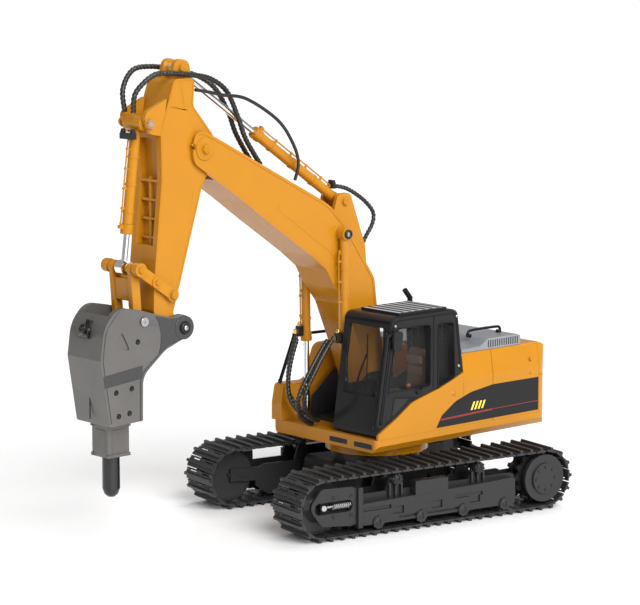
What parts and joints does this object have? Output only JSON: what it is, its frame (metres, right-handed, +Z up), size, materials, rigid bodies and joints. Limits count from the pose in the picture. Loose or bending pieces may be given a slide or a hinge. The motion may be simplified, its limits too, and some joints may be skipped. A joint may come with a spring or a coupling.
{
  "type": "rc excavator",
  "caption": "Tracked toy excavator with slewing upper works, cab, articulated boom and stick worked by cylinders, and a breaker hammer with a sliding chisel.",
  "frame": {"origin": "centre of the bounding box on the ground, under the boom side of the undercarriage", "axes": "+X forward along the tracks, +Y to the machine's left, +Z up; the upper works rest slewed 9.4 degrees towards +Y"},
  "size_m": [0.4115, 0.172, 0.3588],
  "materials": {
    "yellow_plastic": "satin gloss",
    "track_black": "satin",
    "frame_black": "satin",
    "cover_black": "satin gloss",
    "cab_black": "gloss",
    "grille_grey": "satin",
    "hammer_grey": "satin",
    "chrome": "polished",
    "pin_steel": "brushed",
    "window_clear": "clear",
    "interior_brown": "satin",
    "hose_black": "satin",
    "battery_blue": "satin",
    "board_green": "satin",
    "motor_steel": "brushed"
  },
  "bodies": {
    "undercarriage": {"chassis_frame": "frame_black", "turntable_ring": "frame_black", "track_frame_left": "frame_black", "track_frame_right": "frame_black", "side_cover_left": "cover_black", "side_cover_right": "cover_black", "tensioner_springs": "pin_steel", "track_left": "track_black", "track_right": "track_black"},
    "house": {"house_deck": "yellow_plastic", "engine_cover": "yellow_plastic", "counterweight": "yellow_plastic", "cab_side_panel": "yellow_plastic", "right_side_cover": "yellow_plastic", "hood_grille": "grille_grey", "exhaust_pipe": "cab_black", "handrails": "cab_black", "boom_bracket": "frame_black", "battery_pack": "battery_blue", "control_board": "board_green", "slew_motor": "motor_steel", "cab_frame": "cab_black", "cab_windows": "window_clear", "cab_interior": "interior_brown", "mirror": "cab_black", "cylinder_hoses": "hose_black"},
    "power_switch": {"power_switch": "cab_black"},
    "boom": {"boom_shell_left": "yellow_plastic", "boom_shell_right": "yellow_plastic", "boom_pins": "pin_steel", "arm_hoses": "hose_black"},
    "boom_barrels": {"boom_barrels": "yellow_plastic"},
    "boom_rods": {"boom_rods": "chrome"},
    "arm_barrel": {"arm_barrel": "yellow_plastic"},
    "arm_rod": {"arm_rod": "chrome"},
    "stick": {"stick_shell_left": "yellow_plastic", "stick_shell_right": "yellow_plastic", "stick_pins": "pin_steel"},
    "bucket_barrel": {"bucket_barrel": "yellow_plastic"},
    "bucket_rod": {"bucket_rod": "chrome"},
    "rocker": {"rocker_links": "yellow_plastic"},
    "link": {"h_link": "yellow_plastic"},
    "hammer": {"hammer_body": "hammer_grey"},
    "chisel": {"chisel": "hammer_grey"},
    "sprocket_left": {"sprocket_left": "cover_black"},
    "idler_left": {"idler_left": "cover_black"},
    "road_roller_left_1": {"road_roller_left_1": "cover_black"},
    "road_roller_left_2": {"road_roller_left_2": "cover_black"},
    "road_roller_left_3": {"road_roller_left_3": "cover_black"},
    "road_roller_left_4": {"road_roller_left_4": "cover_black"},
    "carrier_roller_left_1": {"carrier_roller_left_1": "cover_black"},
    "carrier_roller_left_2": {"carrier_roller_left_2": "cover_black"},
    "sprocket_right": {"sprocket_right": "cover_black"},
    "idler_right": {"idler_right": "cover_black"},
    "road_roller_right_1": {"road_roller_right_1": "cover_black"},
    "road_roller_right_2": {"road_roller_right_2": "cover_black"},
    "road_roller_right_3": {"road_roller_right_3": "cover_black"},
    "road_roller_right_4": {"road_roller_right_4": "cover_black"},
    "carrier_roller_right_1": {"carrier_roller_right_1": "cover_black"},
    "carrier_roller_right_2": {"carrier_roller_right_2": "cover_black"}
  },
  "joints": [
    {"name": "slew", "type": "hinge", "parent": "undercarriage", "child": "house", "pos_m": [-0.0675, 0, 0.05], "axis": [0, 0, 1], "range_deg": [-340, 340]},
    {"name": "boom_lift", "type": "hinge", "parent": "house", "child": "boom", "pos_m": [-0.06703, -0.02121, 0.098], "axis": [0.1633, -0.9866, 0], "range_deg": [-30, 10], "deforming": ["cylinder_hoses"]},
    {"name": "boom_cylinder_swing", "type": "hinge", "parent": "boom", "child": "boom_barrels", "pos_m": [-0.02806, -0.01476, 0.2195], "axis": [0.1633, -0.9866, 0], "range_deg": [-2.2, 5.3]},
    {"name": "boom_cylinder_stroke", "type": "slide", "parent": "boom_barrels", "child": "boom_rods", "axis": [-0.0131, -0.0022, -0.9999], "range_m": [-0.0222, 0.0078]},
    {"name": "stick_swing", "type": "hinge", "parent": "boom", "child": "stick", "pos_m": [0.10365, 0.00705, 0.2928], "axis": [-0.1633, 0.9866, 0], "range_deg": [-45, 8], "deforming": ["arm_hoses"]},
    {"name": "arm_cylinder_swing", "type": "hinge", "parent": "boom", "child": "arm_barrel", "pos_m": [-0.04089, -0.01688, 0.2425], "axis": [-0.1633, 0.9866, 0], "range_deg": [-8.5, 2]},
    {"name": "arm_cylinder_stroke", "type": "slide", "parent": "arm_barrel", "child": "arm_rod", "axis": [0.8133, 0.1346, 0.566], "range_m": [-0.0403, 0.0077]},
    {"name": "hammer_tilt", "type": "hinge", "parent": "stick", "child": "hammer", "pos_m": [0.12604, 0.01076, 0.1627], "axis": [-0.1633, 0.9866, 0], "range_deg": [-15, 30]},
    {"name": "rocker_swing", "type": "hinge", "parent": "stick", "child": "rocker", "pos_m": [0.13462, 0.01218, 0.1877], "axis": [-0.1633, 0.9866, 0], "range_deg": [-18.5, 36.4]},
    {"name": "link_swing", "type": "hinge", "parent": "rocker", "child": "link", "pos_m": [0.16531, 0.01725, 0.209], "axis": [-0.1633, 0.9866, 0], "range_deg": [-24.5, 12.5]},
    {"name": "bucket_cylinder_swing", "type": "hinge", "parent": "stick", "child": "bucket_barrel", "pos_m": [0.15248, 0.01513, 0.3135], "axis": [-0.1633, 0.9866, 0], "range_deg": [-4, 2.3]},
    {"name": "bucket_cylinder_stroke", "type": "slide", "parent": "bucket_barrel", "child": "bucket_rod", "axis": [0.1218, 0.0202, -0.9924], "range_m": [-0.0112, 0.0218]},
    {"name": "chisel_stroke", "type": "slide", "parent": "hammer", "child": "chisel", "axis": [0, 0, 1], "range_m": [0, 0.004]},
    {"name": "switch_slide", "type": "slide", "parent": "house", "child": "power_switch", "axis": [0.9866, 0.1633, 0], "range_m": [0, 0.0048]},
    {"name": "sprocket_left_spin", "type": "hinge", "parent": "undercarriage", "child": "sprocket_left", "pos_m": [-0.1708, 0.066, 0.02491], "axis": [0, 1, 0], "continuous": true},
    {"name": "idler_left_spin", "type": "hinge", "parent": "undercarriage", "child": "idler_left", "pos_m": [0.0338, 0.066, 0.02491], "axis": [0, 1, 0], "continuous": true},
    {"name": "road_roller_left_1_spin", "type": "hinge", "parent": "undercarriage", "child": "road_roller_left_1", "pos_m": [-0.0135, 0.066, 0.009], "axis": [0, 1, 0], "continuous": true},
    {"name": "road_roller_left_2_spin", "type": "hinge", "parent": "undercarriage", "child": "road_roller_left_2", "pos_m": [-0.0527, 0.066, 0.009], "axis": [0, 1, 0], "continuous": true},
    {"name": "road_roller_left_3_spin", "type": "hinge", "parent": "undercarriage", "child": "road_roller_left_3", "pos_m": [-0.0919, 0.066, 0.009], "axis": [0, 1, 0], "continuous": true},
    {"name": "road_roller_left_4_spin", "type": "hinge", "parent": "undercarriage", "child": "road_roller_left_4", "pos_m": [-0.1311, 0.066, 0.009], "axis": [0, 1, 0], "continuous": true},
    {"name": "carrier_roller_left_1_spin", "type": "hinge", "parent": "undercarriage", "child": "carrier_roller_left_1", "pos_m": [-0.033, 0.066, 0.04142], "axis": [0, 1, 0], "continuous": true},
    {"name": "carrier_roller_left_2_spin", "type": "hinge", "parent": "undercarriage", "child": "carrier_roller_left_2", "pos_m": [-0.1094, 0.066, 0.04142], "axis": [0, 1, 0], "continuous": true},
    {"name": "sprocket_right_spin", "type": "hinge", "parent": "undercarriage", "child": "sprocket_right", "pos_m": [-0.1708, -0.066, 0.02491], "axis": [0, 1, 0], "continuous": true},
    {"name": "idler_right_spin", "type": "hinge", "parent": "undercarriage", "child": "idler_right", "pos_m": [0.0338, -0.066, 0.02491], "axis": [0, 1, 0], "continuous": true},
    {"name": "road_roller_right_1_spin", "type": "hinge", "parent": "undercarriage", "child": "road_roller_right_1", "pos_m": [-0.0135, -0.066, 0.009], "axis": [0, 1, 0], "continuous": true},
    {"name": "road_roller_right_2_spin", "type": "hinge", "parent": "undercarriage", "child": "road_roller_right_2", "pos_m": [-0.0527, -0.066, 0.009], "axis": [0, 1, 0], "continuous": true},
    {"name": "road_roller_right_3_spin", "type": "hinge", "parent": "undercarriage", "child": "road_roller_right_3", "pos_m": [-0.0919, -0.066, 0.009], "axis": [0, 1, 0], "continuous": true},
    {"name": "road_roller_right_4_spin", "type": "hinge", "parent": "undercarriage", "child": "road_roller_right_4", "pos_m": [-0.1311, -0.066, 0.009], "axis": [0, 1, 0], "continuous": true},
    {"name": "carrier_roller_right_1_spin", "type": "hinge", "parent": "undercarriage", "child": "carrier_roller_right_1", "pos_m": [-0.033, -0.066, 0.04142], "axis": [0, 1, 0], "continuous": true},
    {"name": "carrier_roller_right_2_spin", "type": "hinge", "parent": "undercarriage", "child": "carrier_roller_right_2", "pos_m": [-0.1094, -0.066, 0.04142], "axis": [0, 1, 0], "continuous": true}
  ],
  "couplings": [
    {"joint": "boom_cylinder_swing", "follows": "boom_lift", "ratio": -0.15667},
    {"joint": "boom_cylinder_stroke", "follows": "boom_lift", "m_per_rad": 0.04125},
    {"joint": "arm_cylinder_swing", "follows": "stick_swing", "ratio": 0.17587},
    {"joint": "arm_cylinder_stroke", "follows": "stick_swing", "m_per_rad": 0.05053},
    {"joint": "rocker_swing", "follows": "hammer_tilt", "ratio": 1.1935},
    {"joint": "link_swing", "follows": "hammer_tilt", "ratio": -0.79537},
    {"joint": "bucket_cylinder_swing", "follows": "hammer_tilt", "ratio": -0.11479},
    {"joint": "bucket_cylinder_stroke", "follows": "hammer_tilt", "m_per_rad": 0.04046},
    {"joint": "idler_left_spin", "follows": "sprocket_left_spin", "ratio": 1},
    {"joint": "road_roller_left_1_spin", "follows": "sprocket_left_spin", "ratio": 4.5226},
    {"joint": "road_roller_left_2_spin", "follows": "sprocket_left_spin", "ratio": 4.5226},
    {"joint": "road_roller_left_3_spin", "follows": "sprocket_left_spin", "ratio": 4.5226},
    {"joint": "road_roller_left_4_spin", "follows": "sprocket_left_spin", "ratio": 4.5226},
    {"joint": "carrier_roller_left_1_spin", "follows": "sprocket_left_spin", "ratio": 5.1688},
    {"joint": "carrier_roller_left_2_spin", "follows": "sprocket_left_spin", "ratio": 5.1688},
    {"joint": "idler_right_spin", "follows": "sprocket_right_spin", "ratio": 1},
    {"joint": "road_roller_right_1_spin", "follows": "sprocket_right_spin", "ratio": 4.5226},
    {"joint": "road_roller_right_2_spin", "follows": "sprocket_right_spin", "ratio": 4.5226},
    {"joint": "road_roller_right_3_spin", "follows": "sprocket_right_spin", "ratio": 4.5226},
    {"joint": "road_roller_right_4_spin", "follows": "sprocket_right_spin", "ratio": 4.5226},
    {"joint": "carrier_roller_right_1_spin", "follows": "sprocket_right_spin", "ratio": 5.1688},
    {"joint": "carrier_roller_right_2_spin", "follows": "sprocket_right_spin", "ratio": 5.1688}
  ]
}
